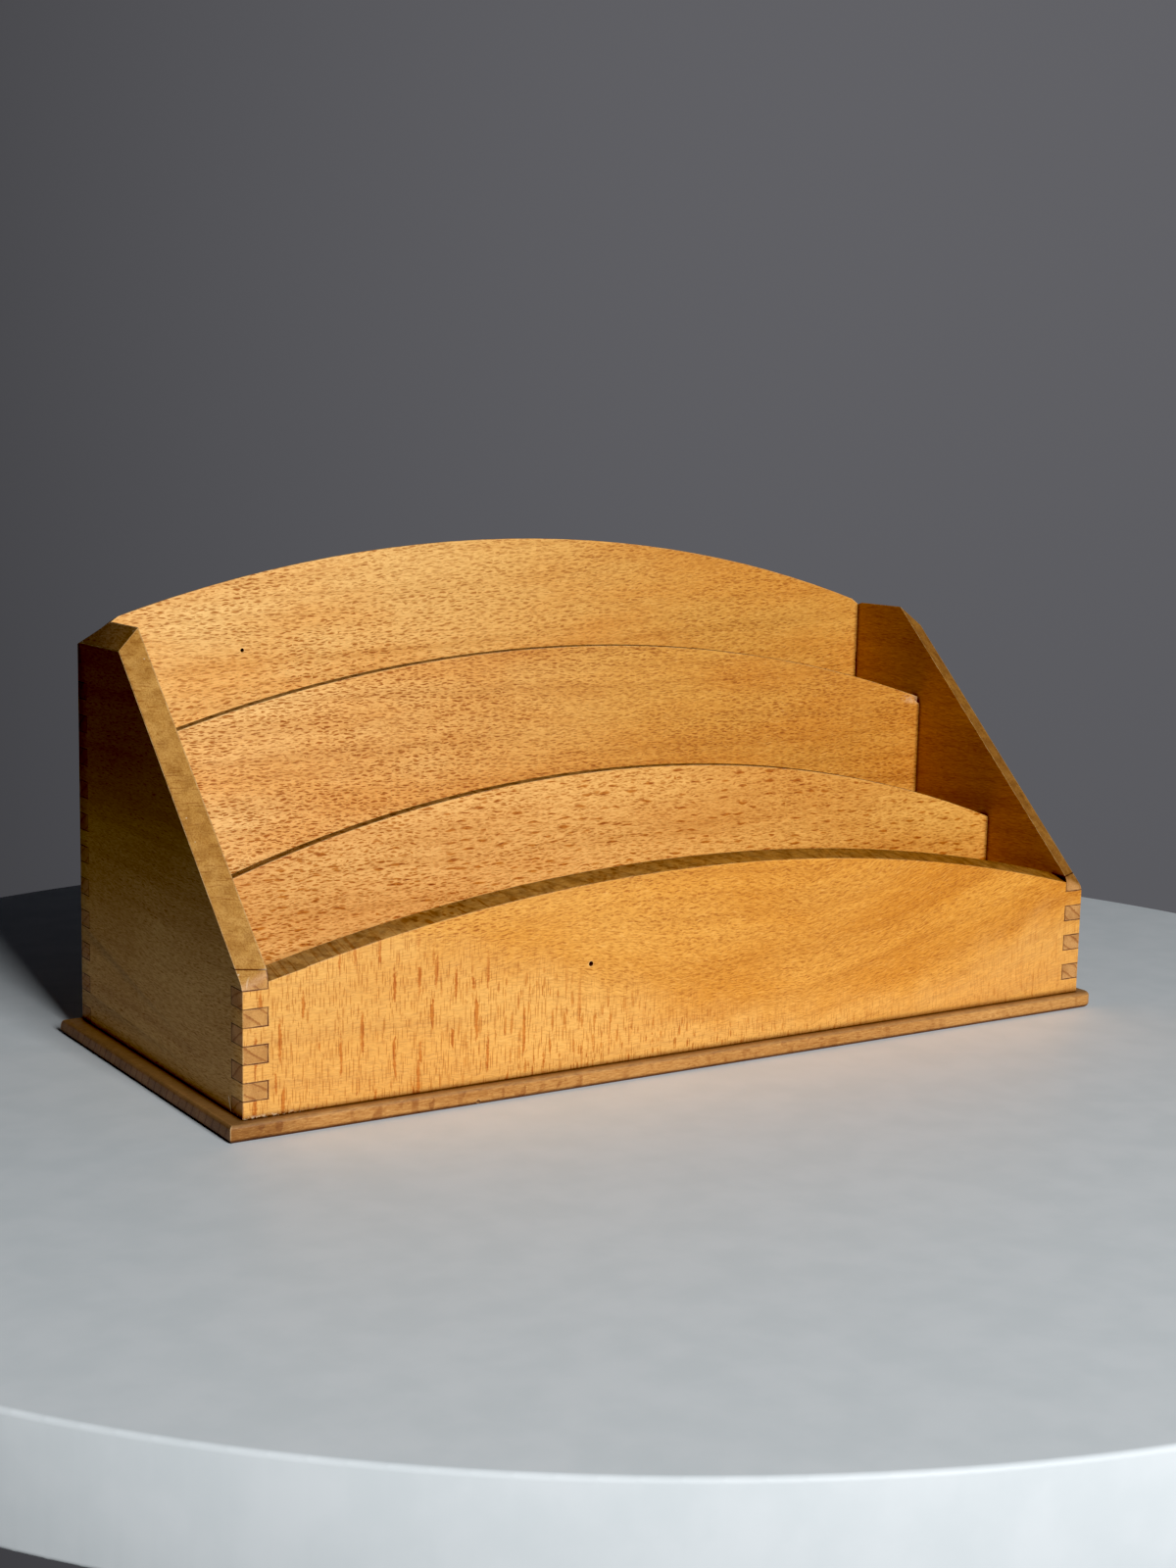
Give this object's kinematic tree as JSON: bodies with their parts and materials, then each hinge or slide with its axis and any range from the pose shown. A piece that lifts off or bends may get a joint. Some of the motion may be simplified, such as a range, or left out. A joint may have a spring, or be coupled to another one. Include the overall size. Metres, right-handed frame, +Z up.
{
  "type": "letter rack",
  "caption": "Tabletop letter rack: a low arched front, a taller arched back, sloping sides and thin arched dividers make open-topped pockets for envelopes over a base board with rounded edges.",
  "frame": {"origin": "centre of the underside of the base board", "axes": "X along the front, Y from the front to the back, Z up"},
  "size_m": [0.345, 0.143, 0.1679],
  "materials": {
    "beech": "oiled, satin",
    "steel": "plain, slightly dull"
  },
  "bodies": {
    "root": {"front_board": "beech", "back_board": "beech", "left_side": "beech", "right_side": "beech", "front_divider": "beech", "rear_divider": "beech", "base_board": "beech", "base_screws": "steel"}
  },
  "joints": []
}
